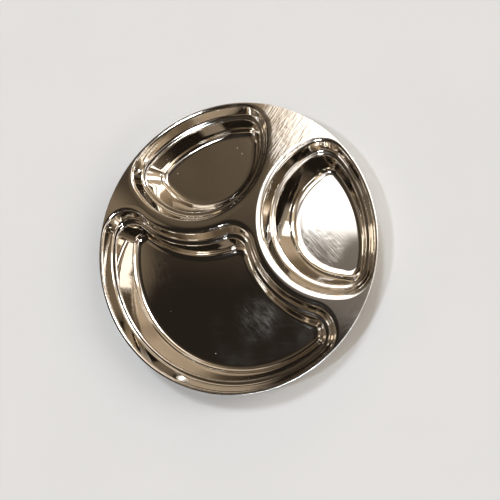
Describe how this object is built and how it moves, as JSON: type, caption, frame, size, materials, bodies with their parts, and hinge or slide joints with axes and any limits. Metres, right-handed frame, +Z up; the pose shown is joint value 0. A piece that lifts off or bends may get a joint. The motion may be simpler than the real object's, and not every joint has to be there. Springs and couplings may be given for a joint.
{
  "type": "divided plate",
  "caption": "Round divided serving plate pressed from polished steel sheet, with a large main compartment and mirror-image bowls, all with stepped walls, sunk below a flat deck at rim height.",
  "frame": {"origin": "centre of the round rim, on the surface that the compartment floors rest on", "axes": "+Z up, from the floors towards the deck; +Y along the line of symmetry, from the main compartment towards the web between the bowls; +X to the right"},
  "size_m": [0.25, 0.25, 0.0318],
  "materials": {
    "polished_steel": "polished to a mirror, with light wear scratches"
  },
  "bodies": {
    "root": {"pressed_plate": "polished_steel"}
  },
  "joints": []
}
